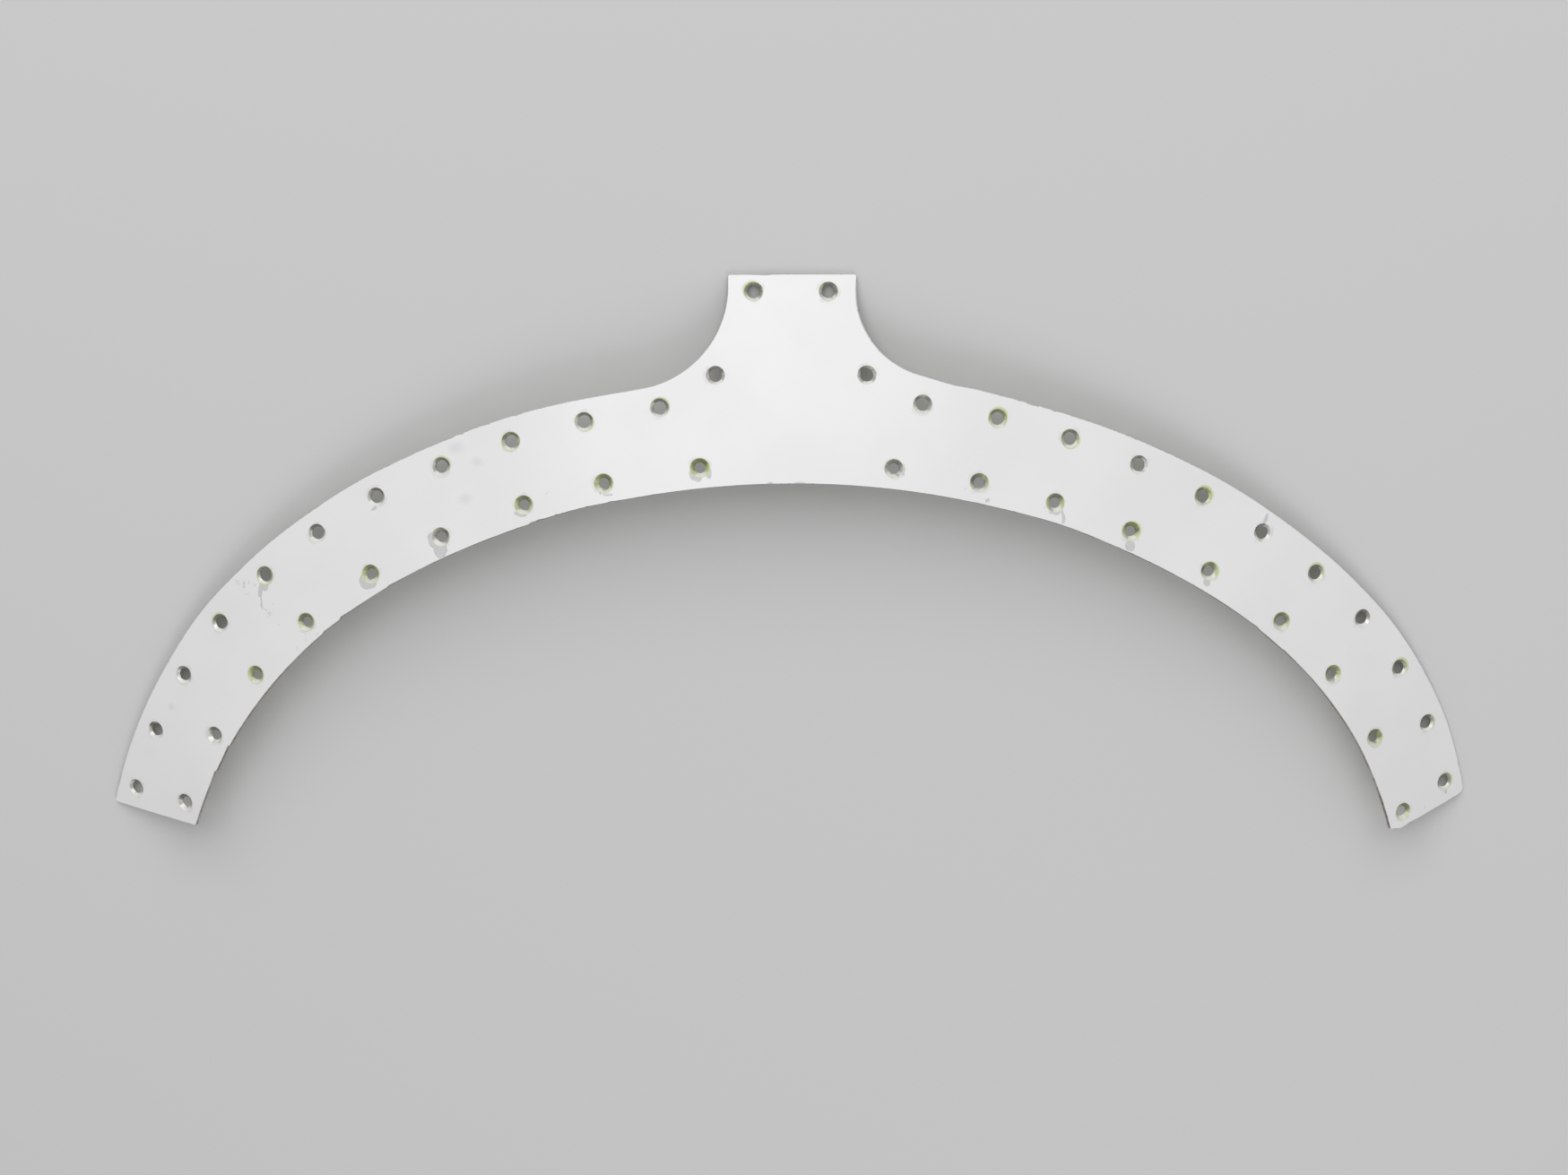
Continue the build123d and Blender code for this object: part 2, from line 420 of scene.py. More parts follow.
class Skin:
    """The skin's points, with flat places, lifts and normals, and its faces with their regions."""

    def __init__(self):
        self.flat, self.lift, self.normal = [], [], []
        self.quads, self.triangles = [], []
        self.size = 0

    def points(self, flat, lift, normal):
        """Adds points with their normals on the blank (x, y, up), and gives their numbers."""
        self.flat.append(flat)
        self.lift.append(np.broadcast_to(lift, len(flat)))
        self.normal.append(np.broadcast_to(normal, (len(flat), 3)))
        self.size += len(flat)
        return self.size - len(flat) + np.arange(len(flat))

    def strip(self, upper, lower, region, inward=False):
        """Adds the quads between two closed rows. Rows run anticlockwise round the border, and
        inward turns the quads to face a hole's axis."""
        after_upper, after_lower = np.roll(upper, -1), np.roll(lower, -1)
        quads = np.stack([upper, lower, after_lower, after_upper], 1)
        self.quads.append((quads[:, ::-1] if inward else quads, region))


REGIONS = {"painted_face": 0, "sheet_edge": 1, "countersink": 2, "drilled_wall": 3, "primed_back": 4}
skin = Skin()
edge_out, rows = edge_rows()
grid = face_grid()

# The two faces, with a ring of points round each hole that keeps the triangles there even
rings = [circle(centre, sink_rim + 1.0, hole_steps // 2) for centre in hole_flat]
sunk_rows = [hole_rows(radius) for radius in hole_radius]
loops = {}
for side, row, lift, up in (("painted_face", 0, 0.0, 1), ("primed_back", -1, -sheet_thickness, -1)):
    rims = [circle(centre, wall[row][0]) for centre, wall in zip(hole_flat, sunk_rows)]
    places, triangles, found = meshed_face(rows[row][0], rims, np.concatenate([grid, *rings]))
    numbers = skin.points(places, lift, (0, 0, up))
    skin.triangles.append((numbers[triangles[:, ::up]], REGIONS[side]))
    loops[side] = [numbers[loop] for loop in found]

# The cut edge, row by row
upper = loops["painted_face"][0]
for places, lift, out_share, up_share in rows[1:-1]:
    normal = np.concatenate([edge_out * out_share, np.full((len(outline), 1), up_share)], 1)
    lower = skin.points(places, lift, normal)
    skin.strip(upper, lower, REGIONS["sheet_edge"])
    upper = lower
skin.strip(upper, loops["primed_back"][0], REGIONS["sheet_edge"])

# The wall of every hole, row by row. Its first row is still the face's paint.
first_sunk_row, first_drilled_row = 2, 11
spoke = circle(np.zeros(2), 1.0)
for centre, wall, upper, last in zip(hole_flat, sunk_rows, loops["painted_face"][1:],
                                     loops["primed_back"][1:]):
    for row, (radius, lift, angle) in enumerate(wall[1:-1], 1):
        normal = np.concatenate([-spoke * np.cos(angle), np.full((hole_steps, 1), np.sin(angle))], 1)
        lower = skin.points(circle(centre, radius), lift, normal)
        region = ("painted_face" if row < first_sunk_row else
                  "countersink" if row < first_drilled_row else "drilled_wall")
        skin.strip(upper, lower, REGIONS[region], inward=True)
        upper = lower
    skin.strip(upper, last, REGIONS["drilled_wall"], inward=True)


def rolled_mesh(name):
    """The finished mesh, with the rolled normals and the blank's map, its points' flat places, and
    the number of the point at each face corner."""
    flat, lift, normal = (np.concatenate(part) for part in (skin.flat, skin.lift, skin.normal))
    places, x_way, y_way, up_way = rolled(flat, lift)
    normals = normal[:, :1] * x_way + normal[:, 1:2] * y_way + normal[:, 2:] * up_way
    quads = [q for q, _ in skin.quads]
    triangles = [t for t, _ in skin.triangles]
    mesh = bpy.data.meshes.new(name)
    faces = [*np.concatenate(triangles).tolist(), *np.concatenate(quads).tolist()]
    mesh.from_pydata(places, [], faces)
    region = [np.full(len(part), number) for part, number in skin.triangles + skin.quads]
    mesh.polygons.foreach_set("material_index", np.concatenate(region))
    mesh.polygons.foreach_set("use_smooth", np.ones(len(mesh.polygons), bool))
    corners = np.empty(len(mesh.loops), int)
    mesh.loops.foreach_get("vertex_index", corners)
    blank_map = mesh.uv_layers.new(name="blank")
    blank_map.data.foreach_set("uv", (flat * MM)[corners].astype(np.float32).ravel())
    mesh.normals_split_custom_set_from_vertices(normals / np.linalg.norm(normals, axis=1)[:, None])
    return mesh, flat, corners


mesh, flat, corners = rolled_mesh("retainer_sheet")
retainer = bpy.data.objects.new("retainer_sheet", mesh)
bpy.context.scene.collection.objects.link(retainer)
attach(retainer, "root")
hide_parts("windshield_retainer")

# What each finish needs to know at every place on the sheet: how far it is from the nearest
# screw hole and from the cut edge, which edge that is, and how much primer the hole shows.
# primer_left has each row's left and right holes, from the centre line outwards.
primer_left = {
    "stem_top_screw": (0.65, 0.6), "stem_root_screw": (0.1, 0.35),
    "windshield_screw": ((0.4, 0.5, 0.65, 0.35, 0.15, 0.4, 0.6, 0.3, 0.3, 0.1, 0.15),
                         (0.45, 0.8, 0.65, 0.15, 0.75, 0.15, 0.55, 0.2, 0.55, 0.45, 0.6)),
    "deck_screw": ((1.0, 0.95, 0.85, 0.5, 0.85, 0.85, 1.0, 0.3, 0.25),
                   (0.5, 0.7, 0.75, 0.95, 0.75, 0.9, 0.8, 0.9, 0.85)),
}


def primer_shown(name):
    """How much green primer is left in a hole's countersink, from 0 to 1."""
    row, _, rest = name.rpartition("_left" if "_left" in name else "_right")
    kept = primer_left[row]["_right" in name]
    return kept[int(rest.strip("_")) - 1] if rest else kept


def nearest(points, places):
    """The nearest of the places to each point, and the distance to it, in blocks of points."""
    found = [np.linalg.norm(block[:, None] - places[None], axis=2)
             for block in np.array_split(points, max(1, len(points) // 2000))]
    return (np.concatenate([block.argmin(1) for block in found]),
            np.concatenate([block.min(1) for block in found]))


def laid_on(mesh, name, domain, values):
    """Lays numbers on the mesh under a name, one for each point or each face."""
    layer = mesh.attributes.new(name, "FLOAT", domain)
    layer.data.foreach_set("value", np.ascontiguousarray(values, np.float32).ravel())


counts = np.empty(len(mesh.polygons), int)
mesh.polygons.foreach_get("loop_total", counts)
face_of_corner = np.repeat(np.arange(len(counts)), counts)
face_middles = np.stack([np.bincount(face_of_corner, flat[corners, k]) / counts for k in (0, 1)], 1)
hole_of_face = nearest(face_middles, hole_flat)[0]
from_hole = flat[corners] - hole_flat[hole_of_face][face_of_corner]
hole_map = mesh.uv_layers.new(name="from_hole")
hole_map.data.foreach_set("uv", (from_hole * MM).astype(np.float32).ravel())
primer_of_hole = np.array([primer_shown(name) for name in hole_names])
laid_on(mesh, "primer_left", "FACE", primer_of_hole[hole_of_face])
edge_place, edge_distance = nearest(flat, outline)
laid_on(mesh, "to_edge", "POINT", edge_distance)
# The inner edge faces down, away from the lamp; the finishes brown it, part sealant and part painted
# shade
leg_ends, below_stem = 318, -20
faces_down = edge_out[:, 1] < 0.1
on_inner = faces_down & (np.abs(outline[:, 0]) < leg_ends) & (outline[:, 1] < below_stem)
laid_on(mesh, "inner_edge", "POINT", on_inner[edge_place])

# The most worn stretches of the edge, each with its place and reach
worn_stretches = ((-66, -30, 10), (-105, -35, 22), (-140, -48, 10), (-140, 4, 28), (128, 8, 35),
                  (165, -8, 20), (340, -195, 25))
least_wear = 0.35
wear = np.zeros(len(outline))
for x, y, reach in worn_stretches:
    away = np.hypot(outline[:, 0] - x, outline[:, 1] - y)
    wear = np.maximum(wear, np.exp(-(away / reach) ** 2))
laid_on(mesh, "edge_wear", "POINT", (least_wear + (1 - least_wear) * wear)[edge_place])

# The white paint: a gloss coat sprayed over a light grey undercoat and green primer, with a
# fine orange peel. It cracked and flaked where the screws were turned out, and picked up
# smudges and scuffs. Marks are at places on the blank, in millimetres.
WHITE = (0.808, 0.802, 0.81, 1)
THINNER_WHITE = (0.775, 0.772, 0.782, 1)
UNDERCOAT = (0.60, 0.595, 0.605, 1)
DULLER_UNDERCOAT = (0.53, 0.525, 0.535, 1)
FLAKE_LIP = (0.45, 0.445, 0.45, 1)
CRACKED_WHITE = (0.66, 0.665, 0.67, 1)
SMUDGE = (0.42, 0.42, 0.45, 1)
STAIN = (0.58, 0.57, 0.59, 1)
RIM_PRIMER = (0.55, 0.61, 0.36, 1)
CRESCENT_PRIMER = (0.45, 0.55, 0.20, 1)
PALE_CRESCENT_PRIMER = (0.62, 0.70, 0.38, 1)
OUTER_CHIP = (0.42, 0.42, 0.41, 1)
# Chips on the down-facing inner edge: part browned metal, part painted shade
SHADED_INNER_CHIP = (0.22, 0.16, 0.11, 1)
cracked_ring = 5.5
crescent_radius = 4.6


def node(tree, kind, *inputs, **settings):
    """A shader node. Its inputs, in order, are numbers, colours or other nodes' outputs."""
    made = tree.nodes.new(kind)
    for key, value in settings.items():
        setattr(made, key, value)
    for socket, value in zip(made.inputs, inputs):
        if isinstance(value, bpy.types.NodeSocket):
            tree.links.new(value, socket)
        elif value is not None:
            socket.default_value = value
    return made


def maths(tree, operation, *inputs):
    """The output of one arithmetic node."""
    return node(tree, "ShaderNodeMath", *inputs, operation=operation).outputs[0]


def vectors(tree, operation, *inputs):
    """The vector that one vector arithmetic node gives."""
    return node(tree, "ShaderNodeVectorMath", *inputs, operation=operation).outputs[0]


def times(tree, *inputs):
    """The product of two numbers."""
    return maths(tree, "MULTIPLY", *inputs)


def times_plus(tree, *inputs):
    """The product of the first two numbers, plus the third."""
    return maths(tree, "MULTIPLY_ADD", *inputs)


def greater(tree, *inputs):
    """The greater of two numbers."""
    return maths(tree, "MAXIMUM", *inputs)


def between(tree, value, low, high):
    """0 where the value is at low, 1 where it is at high, and a smooth step between."""
    step = node(tree, "ShaderNodeMapRange", value, low, high, interpolation_type="SMOOTHSTEP")
    return step.outputs[0]


def mixed(tree, share, under, over):
    """The under colour, with the over colour laid on it by its share."""
    made = tree.nodes.new("ShaderNodeMix")
    made.data_type = "RGBA"
    for place, value in ((0, share), (6, under), (7, over)):
        if isinstance(value, bpy.types.NodeSocket):
            tree.links.new(value, made.inputs[place])
        else:
            made.inputs[place].default_value = value
    return made.outputs[2]


def cloud(tree, place, size, detail=3.0, shape=0.5):
    """Cloudy noise whose blobs are about size millimetres, as a number and as a colour. More
    detail adds finer noise, and shape is how strong that is."""
    made = node(tree, "ShaderNodeTexNoise", place)
    made.inputs["Scale"].default_value = 1 / size
    made.inputs["Detail"].default_value = detail
    made.inputs["Roughness"].default_value = shape
    return made.outputs[0], made.outputs[1]


def pushed(tree, place, size, far):
    """A place moved by cloudy noise, up to about far millimetres, to make outlines ragged."""
    push = vectors(tree, "SUBTRACT", cloud(tree, place, size)[1], (0.5, 0.5, 0.5))
    return vectors(tree, "ADD", place, vectors(tree, "MULTIPLY", push, (2 * far, 2 * far, 0)))


def marked(tree, place, marks):
    """The least distance to any of the marks, where 1 is on a mark's outline.

    A mark is an ellipse: its middle, half its length and width, and its turn in degrees.
    """
    least = None
    for x, y, length, width, turn in marks:
        away = node(tree, "ShaderNodeMapping", place, (x, y, 0), (0, 0, np.radians(turn)),
                    (length, width, 1), vector_type="TEXTURE").outputs[0]
        away = node(tree, "ShaderNodeVectorMath", away, operation="LENGTH").outputs["Value"]
        least = away if least is None else maths(tree, "MINIMUM", least, away)
    return least


def raised(tree, shader, height, strength=1.0):
    """Bends the shader's normal by a height in millimetres."""
    bump = tree.nodes.new("ShaderNodeBump")
    bump.inputs["Strength"].default_value = strength
    bump.inputs["Distance"].default_value = MM
    tree.links.new(height, bump.inputs["Height"])
    tree.links.new(bump.outputs[0], shader.inputs["Normal"])


def finish(name):
    """A new material, its node tree and its shader."""
    material = bpy.data.materials.new(name)
    material.use_nodes = True
    return material, material.node_tree, material.node_tree.nodes["Principled BSDF"]


def mapped(tree, name):
    """One of the mesh's maps, in millimetres: blank is the place on the flat blank, and from_hole
    is the offset from the nearest hole's middle."""
    flat_place = node(tree, "ShaderNodeUVMap", uv_map=name).outputs[0]
    return vectors(tree, "MULTIPLY", flat_place, (1 / MM, 1 / MM, 0))


def laid(tree, name):
    """A number laid on the mesh."""
    return node(tree, "ShaderNodeAttribute", attribute_name=name).outputs["Fac"]


def reach_of(tree, offset):
    """The length of an offset."""
    return node(tree, "ShaderNodeVectorMath", offset, operation="LENGTH").outputs["Value"]


# Flakes, smudges and stains are ellipses: x, y, half the length, half the width, and the turn in
# degrees. A crescent is a circle of primer that is shifted past its hole's rim, and its numbers
# are the way in degrees and how far.
flakes = (
    (-46.2, -19.2, 1.3, 3.8, 0), (-44.2, -21.7, 2.3, 1.8, 0), (-38.8, -19.2, 1.4, 2.6, 10),
    (-90.2, -27.0, 0.5, 2.4, 0), (-86.4, -29.3, 2.2, 0.5, 8), (-128.6, -38.4, 3.0, 1.3, -12),
    (-168.6, -55.0, 3.3, 4.0, -10), (-171.6, -50.6, 3.2, 4.0, 20), (-206.3, -70.3, 4.8, 4.2, 15),
    (-264.9, -75.6, 1.2, 3.6, -6), (-264.7, -81.6, 0.5, 3.2, 6), (-262.2, -74.0, 1.9, 1.8, 0),
    (-202.2, -35.6, 1.4, 0.8, 30),
    (52.3, -18.0, 0.9, 3.2, 6), (92.4, -32.6, 1.2, 0.7, 30), (128.9, -40.3, 0.75, 3.7, 8),
    (125.0, -37.8, 2.6, 1.2, 0), (162.3, -54.0, 2.5, 2.5, 0), (201.9, -72.0, 1.9, 1.6, -20),
    (232.1, -42.0, 0.8, 3.0, -28), (351.5, -183.2, 0.6, 1.5, 15), (-371.0, -190.0, 1.5, 0.6, 0),
    (333.0, -197.3, 2.4, 0.5, 22), (-9.7, -24.1, 1.4, 0.6, 0), (4.2, -24.0, 2.3, 0.5, 0),
)
primer_crescents = {
    "stem_top_screw_left": (140, 0.5), "windshield_screw_left_01": (60, 0.6),
    "windshield_screw_left_02": (-40, 0.45), "windshield_screw_left_03": (-130, 0.5),
    "windshield_screw_left_04": (60, 0.6), "windshield_screw_left_07": (-90, 0.5),
    "windshield_screw_left_08": (125, 0.7), "deck_screw_left_1": (10, 0.45),
    "windshield_screw_right_02": (75, 0.95), "windshield_screw_right_03": (-60, 0.6),
    "windshield_screw_right_05": (50, 0.95), "windshield_screw_right_07": (80, 0.9),
    "windshield_screw_right_09": (50, 1.1), "windshield_screw_right_10": (15, 0.6),
    "windshield_screw_right_11": (10, 0.6), "deck_screw_right_4": (20, 0.7),
    "deck_screw_right_5": (15, 0.6), "deck_screw_right_8": (-20, 0.5),
}
smudges = (
    (-273.9, -73.0, 0.8, 2.2, -10), (-271.0, -71.7, 0.45, 1.2, -15), (-277.8, -71.4, 1.8, 0.35, -8),
    (-277.5, -72.6, 1.6, 0.35, -20), (-272.6, -77.6, 1.9, 0.25, 0), (-262.5, -85.1, 1.6, 0.35, -20),
    (-259.9, -86.4, 1.5, 0.45, -38), (-260.7, -87.2, 1.6, 0.4, -35), (-261.2, -88.6, 0.9, 0.4, -5),
    (-258.1, -82.2, 0.6, 0.6, 0), (-267.9, -73.2, 0.5, 0.6, 0), (-255.6, -92.2, 0.4, 0.3, 0),
    (-241.0, -99.5, 0.35, 1.3, -8), (-246.2, -103.2, 0.4, 1.0, -10), (-234.7, -96.3, 1.4, 0.3, 40),
    (-115.6, -28.4, 0.2, 1.6, -45), (81.6, -27.0, 1.9, 0.18, 35), (119.8, -35.8, 1.6, 0.18, 40),
    (339.0, -190.6, 0.3, 1.0, 0),
)
stains = (
    (-160.0, -6.5, 4.5, 3.6, 0), (-149.5, -13.5, 3.6, 2.6, 0), (-155.7, -31.0, 4.2, 2.4, 10),
    (-322.6, -136.0, 2.6, 2.2, 0),
)


def crescent_marks():
    """The primer crescents as circles, each hole's middle moved its way and distance."""
    marks = []
    for name, (way, far) in primer_crescents.items():
        shift = far * np.array([np.cos(np.radians(way)), np.sin(np.radians(way))])
        x, y = hole_flat[hole_names.index(name)] + shift
        marks.append((x, y, crescent_radius, crescent_radius, 0))
    return marks


def painted_face():
    """White gloss. Flakes show the undercoat, darker at their lips. Round each hole a ring of
    paint is cracked and greyed, and at its rim and along the cut edge it is chipped. Chips on the
    down-facing inner edge are dark brown, part browned metal and part painted shade."""
    material, tree, shader = finish("painted_face")
    place, offset = mapped(tree, "blank"), mapped(tree, "from_hole")
    shader.inputs["Specular IOR Level"].default_value = 0.5
    ragged = pushed(tree, pushed(tree, place, 3.0, 1.1), 0.8, 0.4)
    broad = cloud(tree, place, 60.0, 4.0)[0]
    speckle = cloud(tree, place, 1.1, 4.0, 0.7)[0]
    white = mixed(tree, between(tree, broad, 0.35, 0.7), WHITE, THINNER_WHITE)

    reach = reach_of(tree, pushed(tree, pushed(tree, offset, 9.0, 1.2), 1.5, 0.35))
    around = cloud(tree, place, 6.0, 2.0)[0]
    crack = maths(tree, "ABSOLUTE", maths(tree, "SUBTRACT", reach, cracked_ring))
    crack = times(tree, between(tree, crack, 0.22, 0.03), between(tree, around, 0.5, 0.62))
    halo = between(tree, reach, cracked_ring + 0.4, cracked_ring - 0.2)
    halo = times(tree, halo, between(tree, around, 0.45, 0.62))
    white = mixed(tree, times(tree, halo, 0.5), white, CRACKED_WHITE)
    white = mixed(tree, times(tree, crack, 0.55), white, UNDERCOAT)

    away = marked(tree, pushed(tree, place, 2.5, 0.35), smudges)
    smudge = times(tree, between(tree, away, 1.15, 0.5), between(tree, speckle, 0.3, 0.65))
    white = mixed(tree, times(tree, smudge, 0.75), white, SMUDGE)
    stain = between(tree, marked(tree, ragged, stains), 1.3, 0.1)
    white = mixed(tree, times(tree, stain, 0.35), white, STAIN)

    away = marked(tree, ragged, flakes)
    flake = between(tree, away, 1.04, 0.94)
    lip = times(tree, flake, between(tree, away, 0.8, 0.98))
    grey = mixed(tree, between(tree, speckle, 0.4, 0.7), UNDERCOAT, DULLER_UNDERCOAT)
    grey = mixed(tree, times(tree, lip, 0.4), grey, FLAKE_LIP)
    colour = mixed(tree, flake, white, grey)

    primer = laid(tree, "primer_left")
    rim = maths(tree, "SUBTRACT", reach_of(tree, pushed(tree, offset, 1.6, 0.3)), sink_rim)
    chipped = times_plus(tree, primer, 0.35, 0.1)
    rim_chip = between(tree, rim, chipped, maths(tree, "SUBTRACT", chipped, 0.15))
    green = maths(tree, "ADD", primer, maths(tree, "SUBTRACT", around, 0.5))
    rim_colour = mixed(tree, between(tree, green, 0.2, 0.6), UNDERCOAT, RIM_PRIMER)
    colour = mixed(tree, times(tree, rim_chip, 0.85), colour, rim_colour)
    crescent = marked(tree, pushed(tree, place, 2.0, 0.3), crescent_marks())
    crescent = between(tree, crescent, 1.02, 0.97)
    colour = mixed(tree, times(tree, crescent, 0.8), colour,
                   mixed(tree, speckle, CRESCENT_PRIMER, PALE_CRESCENT_PRIMER))

    wear = laid(tree, "edge_wear")
    ridge = between(tree, cloud(tree, place, 9.0, 4.0, 0.6)[0], 0.5, 0.66)
    ridge = times(tree, times(tree, ridge, wear), maths(tree, "ADD", speckle, 0.15))
    edge_chip = maths(tree, "SUBTRACT", laid(tree, "to_edge"), ridge)
    edge_chip = between(tree, edge_chip, 0.12, 0.02)
    # On the inner edge the chips take the darker brown, part painted shade
    chip_colour = mixed(tree, laid(tree, "inner_edge"), OUTER_CHIP, SHADED_INNER_CHIP)
    colour = mixed(tree, edge_chip, colour, chip_colour)
    tree.links.new(colour, shader.inputs["Base Color"])

    bare = greater(tree, greater(tree, flake, crescent), greater(tree, rim_chip, edge_chip))
    gloss = times_plus(tree, broad, 0.16, 0.16)
    gloss = times_plus(tree, smudge, 0.2, times_plus(tree, halo, 0.12, gloss))
    tree.links.new(times_plus(tree, bare, 0.3, gloss), shader.inputs["Roughness"])
    peel_height, crack_height, bare_height = 0.012, -0.04, -0.07
    peel = times(tree, cloud(tree, place, 2.2, 2.0)[0], peel_height)
    height = times_plus(tree, crack, crack_height, times_plus(tree, bare, bare_height, peel))
    raised(tree, shader, height)
    return material


# The sheet's cut edge: sheared, filed and painted with the face. The arrises are rubbed down to
# metal, and old sealant has browned the edge that met the glass. That inner edge faces down,
# away from the lamp, and its brown is partly painted shade.
EDGE_PAINT = (0.66, 0.67, 0.68, 1)
DULLER_EDGE_PAINT = (0.55, 0.56, 0.57, 1)
# The browns of the down-facing inner edge: part sealant film and browned metal, part painted shade
SEALANT_FILM_AND_SHADE = (0.20, 0.155, 0.12, 1)
WORN_METAL = (0.40, 0.40, 0.39, 1)
BROWNED_AND_SHADED_METAL = (0.16, 0.12, 0.09, 1)


def sheet_edge():
    """White paint in streaks along the edge, worn to grey metal and brown film by noise. On the
    down-facing inner edge the brown is part film and part painted shade.
    """
    material, tree, shader = finish("sheet_edge")
    place = mapped(tree, "blank")
    solid_place = node(tree, "ShaderNodeTexCoord").outputs["Object"]
    around = vectors(tree, "MULTIPLY", solid_place, (1 / MM, 1 / MM, 1 / MM))
    thin = cloud(tree, around, 1.6, 4.0, 0.6)[0]
    long = cloud(tree, place, 18.0, 3.0)[0]
    worn = times_plus(tree, laid(tree, "edge_wear"), 0.18, thin)
    worn = between(tree, worn, 0.56, 0.74)
    inner = times_plus(tree, between(tree, long, 0.3, 0.6), 0.35, 0.65)
    inner = times(tree, laid(tree, "inner_edge"), inner)
    paint = mixed(tree, between(tree, long, 0.35, 0.65), EDGE_PAINT, DULLER_EDGE_PAINT)
    # The inner edge is browned: part film, part painted shade
    paint = mixed(tree, times(tree, inner, 0.8), paint, SEALANT_FILM_AND_SHADE)
    colour = mixed(tree, worn, paint, mixed(tree, inner, WORN_METAL, BROWNED_AND_SHADED_METAL))
    tree.links.new(colour, shader.inputs["Base Color"])
    tree.links.new(times(tree, worn, 0.6), shader.inputs["Metallic"])
    tree.links.new(times_plus(tree, thin, 0.35, 0.3), shader.inputs["Roughness"])
    worn_height, brushed_height = -0.04, 0.06
    raised(tree, shader, times_plus(tree, worn, worn_height, times(tree, thin, brushed_height)))
    return material


# The countersinks and drilled holes: cut with a piloted countersink, primed and painted over.
# The screw heads have since rubbed them down to metal, with primer and dirt left in patches.
# The walls' colour also holds painted light: a painted highlight lightens the lower wall, and
# painted shade darkens the upper wall, towards the stem, and the deep part of each hole.
PRIMER = (0.41, 0.49, 0.21, 1)
PALE_PRIMER = (0.57, 0.63, 0.38, 1)
DARK_METAL = (0.52, 0.50, 0.47, 1)
BRIGHT_METAL = (0.72, 0.71, 0.69, 1)
# The lower walls' white: part paint left there, part painted highlight
WALL_WHITE_AND_HIGHLIGHT = (0.79, 0.80, 0.77, 1)
# The dark of the upper walls and deep holes: part grime, part painted shade
GRIME_AND_SHADE = (0.10, 0.09, 0.08, 1)
GREEN_GRIME_AND_SHADE = (0.12, 0.135, 0.055, 1)
cutter_rings = 38.0


def sunk_wall(name, grime_and_shade_share):
    """Turned metal with rings of the cutter and patches of green primer. The lower wall is
    lightened, part white paint left there and part painted highlight, and the upper one, towards
    the stem, and the deep part of the hole are darkened, part grime and part painted shade."""
    material, tree, shader = finish(name)
    place, offset = mapped(tree, "blank"), mapped(tree, "from_hole")
    reach = reach_of(tree, offset)
    patch = cloud(tree, place, 4.0, 3.0, 0.5)[0]
    fine = cloud(tree, place, 0.9, 3.0, 0.6)[0]
    rings = maths(tree, "SINE", times(tree, reach, cutter_rings))
    primer = laid(tree, "primer_left")
    near_rim = between(tree, reach, 3.3, 4.3)
    kept = times_plus(tree, near_rim, 0.2, times(tree, primer, 0.8))
    green = between(tree, times_plus(tree, patch, 1.2, kept), 1.1, 1.36)
    metal = mixed(tree, between(tree, patch, 0.35, 0.65), DARK_METAL, BRIGHT_METAL)
    colour = mixed(tree, green, metal, mixed(tree, fine, PRIMER, PALE_PRIMER))

    upper = node(tree, "ShaderNodeSeparateXYZ", offset).outputs[1]
    rough = times_plus(tree, fine, 0.35, patch)
    # Whiter on the lower wall: part white paint left there, part painted highlight on the lamp's side
    white = between(tree, times_plus(tree, upper, -0.1, rough), 0.8, 1.05)
    colour = mixed(tree, times(tree, white, 0.8), colour, WALL_WHITE_AND_HIGHLIGHT)
    # Darker on the upper wall and deeper in the hole: part grime, part painted shade where the wall
    # faces away from the lamp and into the recess
    shallow = times_plus(tree, reach, 0.12, -0.43)
    open_place = maths(tree, "ADD", times_plus(tree, upper, -0.075, rough), shallow)
    grime_and_shade = between(tree, open_place, 0.82 + grime_and_shade_share, 0.38 + grime_and_shade_share)
    colour = mixed(tree, times(tree, grime_and_shade, 0.85), colour, mixed(tree, green, GRIME_AND_SHADE, GREEN_GRIME_AND_SHADE))
    tree.links.new(colour, shader.inputs["Base Color"])

    covered = greater(tree, greater(tree, green, white), grime_and_shade)
    tree.links.new(times_plus(tree, covered, -0.35, 0.4), shader.inputs["Metallic"])
    tree.links.new(times_plus(tree, covered, 0.2, 0.34), shader.inputs["Roughness"])
    ring_height, patch_height = 0.006, 0.04
    height = times_plus(tree, rings, ring_height, times(tree, patch, patch_height))
    raised(tree, shader, height, 0.6)
    return material


# The back: matt green primer, with white overspray along the edges and out of the holes, and
# rubbed where it bedded on the glass and the deck skin.
BACK_PRIMER = (0.31, 0.335, 0.165, 1)
DARKER_BACK_PRIMER = (0.235, 0.255, 0.13, 1)
OVERSPRAY = (0.70, 0.71, 0.71, 1)
RUBBED_BACK = (0.36, 0.35, 0.33, 1)


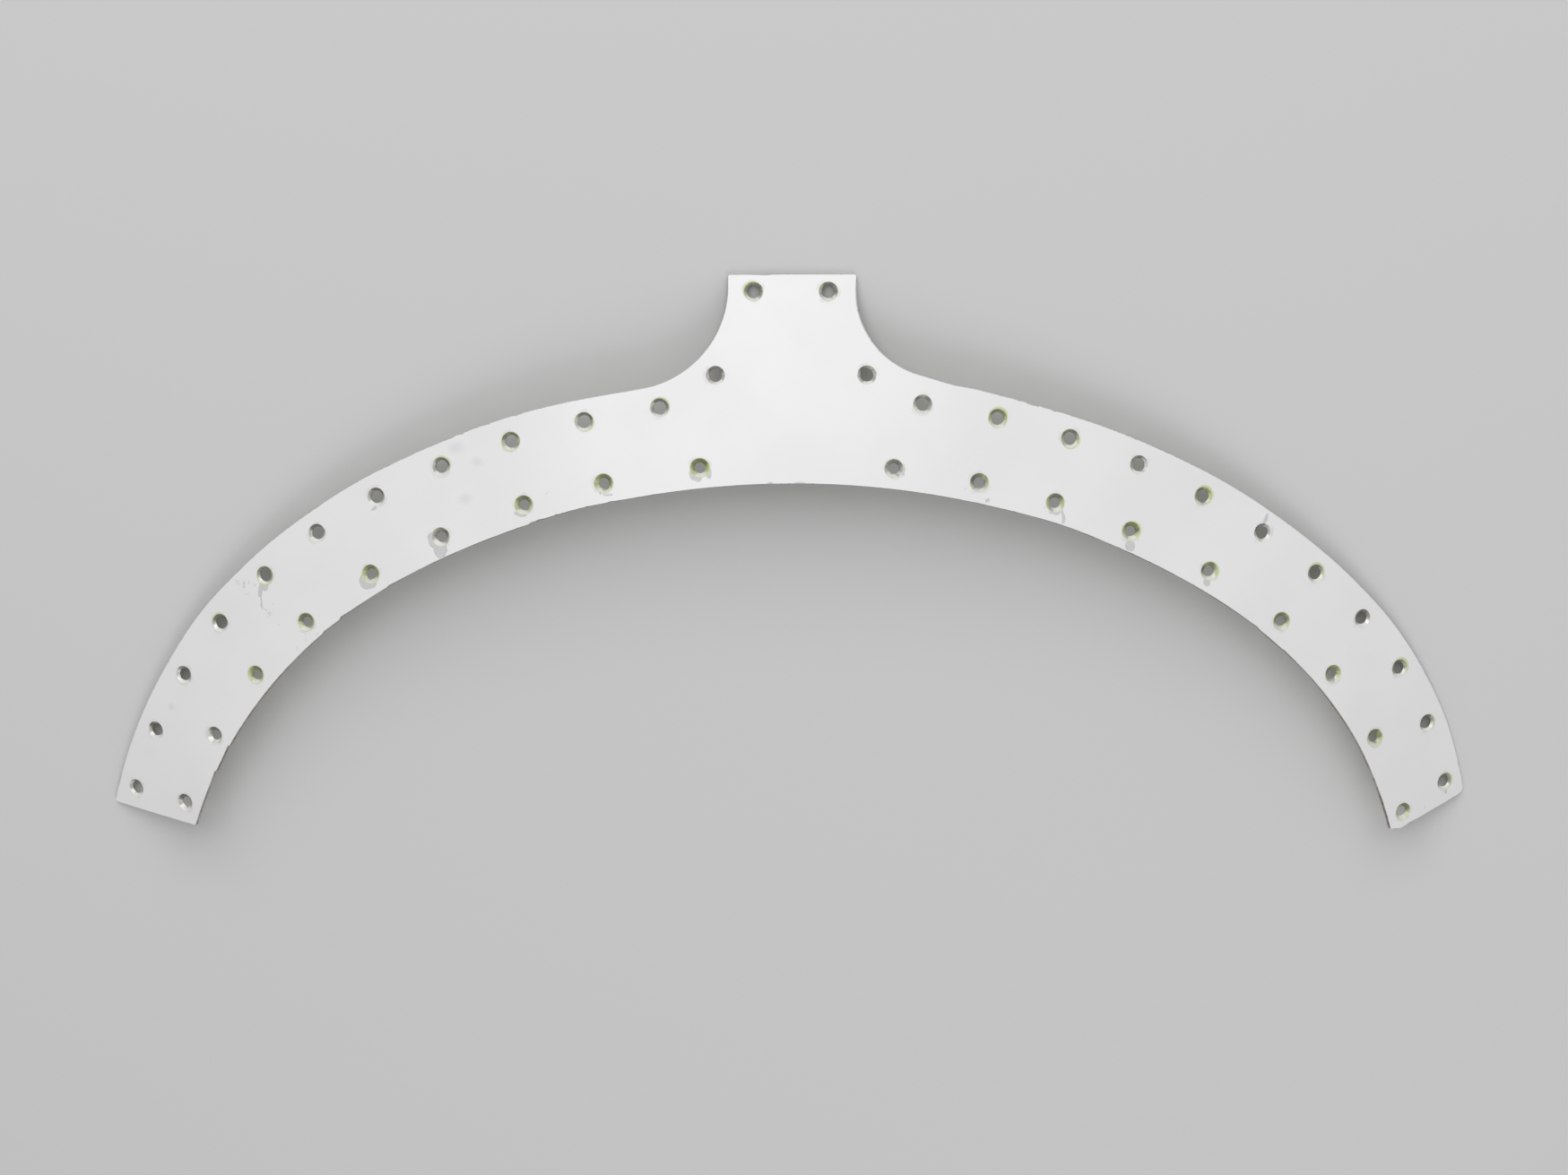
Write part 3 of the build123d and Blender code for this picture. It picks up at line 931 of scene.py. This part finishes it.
def primed_back():
    """Green primer, mottled by noise, with white dust near the edges and faint sanding lines."""
    material, tree, shader = finish("primed_back")
    place, offset = mapped(tree, "blank"), mapped(tree, "from_hole")
    mottle = cloud(tree, place, 22.0, 5.0, 0.6)[0]
    fine = cloud(tree, place, 0.8, 3.0)[0]
    stretched = vectors(tree, "MULTIPLY", place, (0.06, 1.0, 1.0))
    lines = cloud(tree, stretched, 0.9, 3.0)[0]
    green = mixed(tree, between(tree, mottle, 0.35, 0.65), BACK_PRIMER, DARKER_BACK_PRIMER)

    drift = times_plus(tree, mottle, 8.0, times(tree, fine, 5.0))
    dust = between(tree, maths(tree, "ADD", drift, laid(tree, "to_edge")), 11.5, 6.0)
    reach = times_plus(tree, fine, 3.0, reach_of(tree, offset))
    dust = greater(tree, dust, between(tree, reach, 6.6, 4.4))
    colour = mixed(tree, times(tree, dust, 0.75), green, OVERSPRAY)
    bed = times(tree, between(tree, mottle, 0.55, 0.7), between(tree, lines, 0.45, 0.6))
    colour = mixed(tree, times(tree, bed, 0.6), colour, RUBBED_BACK)
    tree.links.new(colour, shader.inputs["Base Color"])
    tree.links.new(times_plus(tree, mottle, 0.2, 0.5), shader.inputs["Roughness"])
    line_height, grain_height = 0.01, 0.02
    height = times_plus(tree, lines, line_height, times(tree, fine, grain_height))
    raised(tree, shader, height)
    return material


# The drilled wall lies deeper, so it gets more of the grime and painted shade
sink_grime_and_shade, drill_grime_and_shade = 0.0, 0.3
for material in (painted_face(), sheet_edge(), sunk_wall("countersink", sink_grime_and_shade),
                 sunk_wall("drilled_wall", drill_grime_and_shade), primed_back()):
    mesh.materials.append(material)

# The studio: a pale floor that the part lies on, a broad soft lamp from above and behind the
# stem, and a weak one from the front.
floor_half = 6
floor_mesh = bpy.data.meshes.new("floor")
floor_mesh.from_pydata([(-floor_half, -floor_half, 0), (floor_half, -floor_half, 0),
                        (floor_half, floor_half, 0), (-floor_half, floor_half, 0)], [], [(0, 1, 2, 3)])
floor = bpy.data.objects.new("floor", floor_mesh)
bpy.context.scene.collection.objects.link(floor)
floor_paint = bpy.data.materials.new("floor_paint")
floor_paint.use_nodes = True
floor_shader = floor_paint.node_tree.nodes["Principled BSDF"]
floor_shader.inputs["Base Color"].default_value = (0.62, 0.62, 0.62, 1)
floor_shader.inputs["Roughness"].default_value = 0.9
floor_mesh.materials.append(floor_paint)

world = bpy.data.worlds.new("studio")
bpy.context.scene.world = world
world.use_nodes = True
world.node_tree.nodes["Background"].inputs["Color"].default_value = (1, 1, 1, 1)
world.node_tree.nodes["Background"].inputs["Strength"].default_value = 0.40


def soft_lamp(name, place, size, power):
    """A square area lamp at a place, in metres, turned towards the part, with its power in watts."""
    lamp = bpy.data.lights.new(name, "AREA")
    lamp.size = size
    lamp.energy = power
    holder = bpy.data.objects.new(name, lamp)
    holder.location = place
    holder.rotation_euler = (-Vector(place)).to_track_quat("-Z", "Y").to_euler()
    bpy.context.scene.collection.objects.link(holder)


soft_lamp("key_lamp", place=(-0.25, 2.5, 2.2), size=2.6, power=74)
soft_lamp("fill_lamp", place=(0.5, -1.4, 1.6), size=1.6, power=10)

# The camera looks down on the part from the photograph's side of the painted face. Its place, in
# millimetres, and its turn, in degrees about each way, are given from the arch's middle: x to
# the right, y up the stem, z out of the face.
camera_place = (-2.3, -45.7, 1465.4)
camera_turn = (-1.0596, 0.0494, -0.1464)
arch_middle, x_way, y_way, up_way = rolled([[0.0, 0.0]])
crown = Matrix(np.stack([x_way[0], y_way[0], up_way[0]], 1)).to_4x4()
crown.translation = Vector(arch_middle[0])
turn = Vector(np.radians(camera_turn))
placed = Matrix.Translation(Vector(camera_place) * MM) @ Matrix.Rotation(turn.length, 4, turn)
lens = bpy.data.cameras.new("camera")
lens.lens = 72.0
lens.sensor_width = 36.0
camera = bpy.data.objects.new("camera", lens)
camera.matrix_world = crown @ placed
bpy.context.scene.collection.objects.link(camera)
bpy.context.scene.camera = camera

bpy.context.scene.view_settings.view_transform = "Standard"
